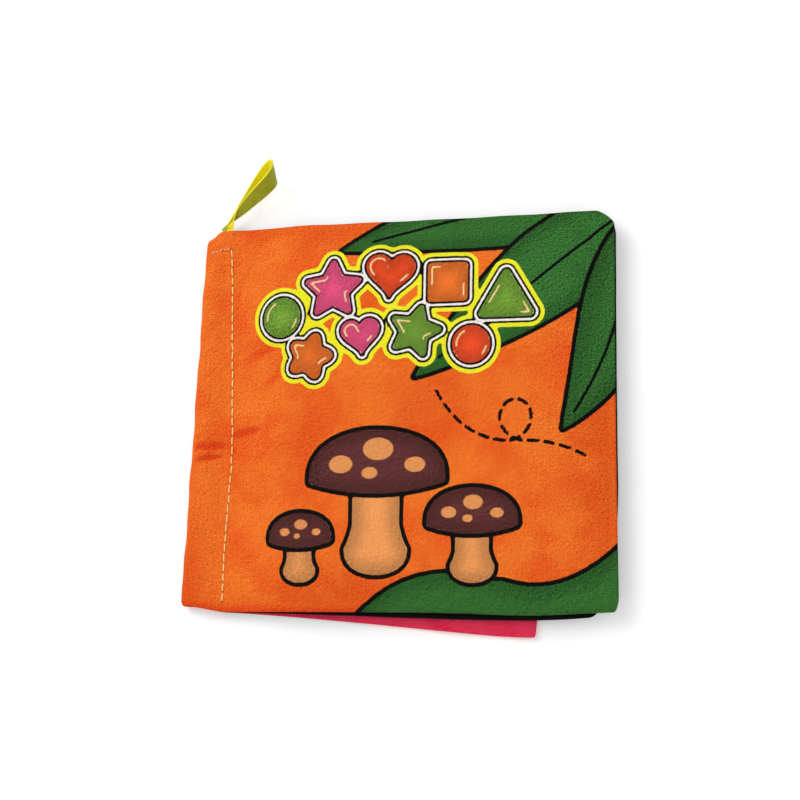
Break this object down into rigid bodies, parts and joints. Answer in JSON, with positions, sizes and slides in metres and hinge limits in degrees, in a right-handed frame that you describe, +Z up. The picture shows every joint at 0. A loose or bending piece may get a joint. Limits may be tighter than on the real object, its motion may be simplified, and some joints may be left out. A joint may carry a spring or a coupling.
{
  "type": "crinkle cloth book",
  "caption": "Soft square cloth book with padded, crinkling leaves sewn along the spine and a ribbon loop at the head; its leaves turn like pages.",
  "frame": {"origin": "middle of the flat face of the back cover that the shut book rests on", "axes": "+X from the spine to the free edges, +Y from the foot of the book to its head, +Z up from the back cover to the front cover"},
  "size_m": [0.1201, 0.1333, 0.0108],
  "materials": {
    "cover_cloth": "printed orange twill, matte",
    "navy_cloth": "printed navy twill, matte",
    "green_cloth": "printed dark green twill, matte",
    "teal_cloth": "printed teal twill, matte",
    "pink_cloth": "printed crimson pink twill, matte",
    "wadding": "white polyester wadding",
    "film": "thin crinkling plastic film",
    "satin": "yellow-green satin ribbon with a soft sheen"
  },
  "bodies": {
    "spine_and_middle_leaf": {"spine_wrap": "cover_cloth", "front_lining_tuck": "navy_cloth", "back_lining_tuck": "pink_cloth", "ribbon_tails": "satin", "middle_page_front": "green_cloth", "middle_padding": "wadding", "middle_crinkle_film": "film", "middle_page_back": "teal_cloth"},
    "front_leaf": {"front_cover_cloth": "cover_cloth", "front_padding": "wadding", "front_crinkle_film": "film", "front_lining": "navy_cloth"},
    "back_leaf": {"back_lining": "pink_cloth", "back_crinkle_film": "film", "back_padding": "wadding", "back_cover_cloth": "cover_cloth"},
    "ribbon": {"ribbon_loop": "satin"}
  },
  "joints": [
    {"name": "front_leaf_turn", "type": "hinge", "parent": "spine_and_middle_leaf", "child": "front_leaf", "pos_m": [-0.054, 0, 0.0039], "axis": [0, -1, 0], "range_deg": [0, 165]},
    {"name": "back_leaf_turn", "type": "hinge", "parent": "spine_and_middle_leaf", "child": "back_leaf", "pos_m": [-0.054, 0, 0], "axis": [0, 1, 0], "range_deg": [0, 165]},
    {"name": "ribbon_nod", "type": "hinge", "parent": "spine_and_middle_leaf", "child": "ribbon", "pos_m": [-0.054, 0.0547, 0.003], "axis": [1, 0, 0], "range_deg": [-20, 50], "stiffness_Nm_per_rad": 0.0005}
  ]
}
